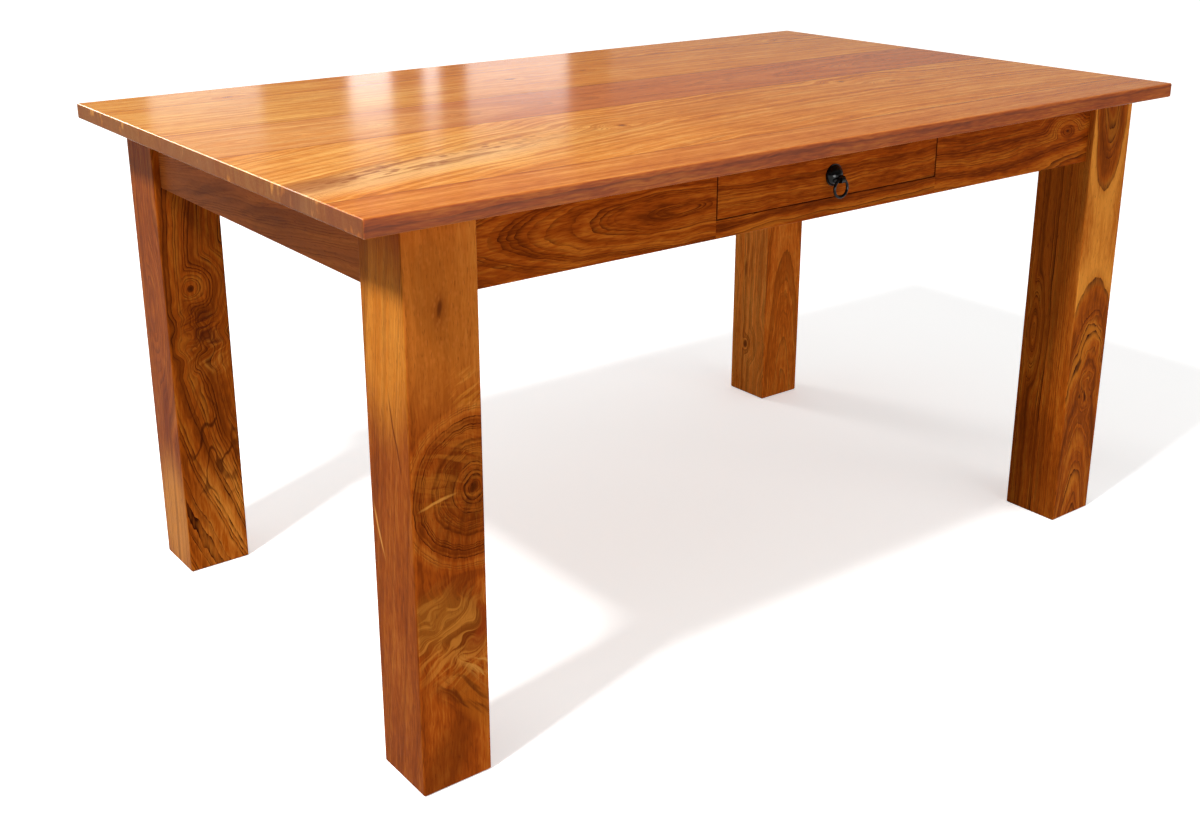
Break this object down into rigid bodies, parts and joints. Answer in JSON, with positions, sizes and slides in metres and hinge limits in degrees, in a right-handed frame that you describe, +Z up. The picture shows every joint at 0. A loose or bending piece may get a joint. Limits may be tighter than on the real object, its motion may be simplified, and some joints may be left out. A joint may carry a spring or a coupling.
{
  "type": "dining table",
  "caption": "Rectangular solid-wood dining table with square legs, a plank top and a shallow drawer with a ring pull in the front apron.",
  "frame": {"origin": "on the floor under the middle of the top", "axes": "+X along the length, -Y towards the drawer's side, +Z up"},
  "size_m": [1.5, 0.9, 0.76],
  "materials": {
    "top_planks": "glossy lacquered hardwood, orange-tan with figured grain",
    "leg_wood": "glossy lacquered hardwood, orange-brown with knots",
    "apron_wood": "glossy lacquered hardwood, red-brown with streaks",
    "inner_wood": "planed, thinly sealed hardwood",
    "drawer_box_wood": "planed and sealed hardwood",
    "zinc_plated_steel": "bright zinc plate",
    "black_iron": "black lacquered iron, semi-gloss"
  },
  "bodies": {
    "frame": {"top_board_back": "top_planks", "top_board_rear": "top_planks", "top_board_middle": "top_planks", "top_board_wide": "top_planks", "top_board_front": "top_planks", "leg_front_left": "leg_wood", "leg_front_right": "leg_wood", "leg_back_right": "leg_wood", "leg_back_left": "leg_wood", "apron_left": "apron_wood", "apron_right": "apron_wood", "apron_back": "apron_wood", "apron_front_left": "apron_wood", "apron_front_right": "apron_wood", "apron_front_rail": "apron_wood", "corner_brace_front_left": "inner_wood", "corner_brace_front_right": "inner_wood", "corner_brace_back_right": "inner_wood", "corner_brace_back_left": "inner_wood", "top_batten_left": "inner_wood", "top_batten_right": "inner_wood", "drawer_runner_left": "inner_wood", "drawer_runner_right": "inner_wood", "drawer_kicker_left": "inner_wood", "drawer_kicker_right": "inner_wood", "drawer_stop_left": "inner_wood", "drawer_stop_right": "inner_wood", "hanger_bolts": "zinc_plated_steel", "hanger_washers": "zinc_plated_steel", "hanger_nuts": "zinc_plated_steel", "batten_screws": "zinc_plated_steel"},
    "drawer": {"drawer_front": "apron_wood", "drawer_side_left": "drawer_box_wood", "drawer_side_right": "drawer_box_wood", "drawer_back": "drawer_box_wood", "drawer_bottom": "drawer_box_wood", "pull_boss": "black_iron", "pull_bolt": "zinc_plated_steel", "pull_washer": "zinc_plated_steel"},
    "ring": {"pull_ring": "black_iron"}
  },
  "joints": [
    {"name": "drawer_slide", "type": "slide", "parent": "frame", "child": "drawer", "axis": [0, -1, 0], "range_m": [0, 0.28]},
    {"name": "ring_swing", "type": "hinge", "parent": "drawer", "child": "ring", "pos_m": [0, -0.424, 0.6955], "axis": [-1, 0, 0], "range_deg": [-25, 150]}
  ]
}
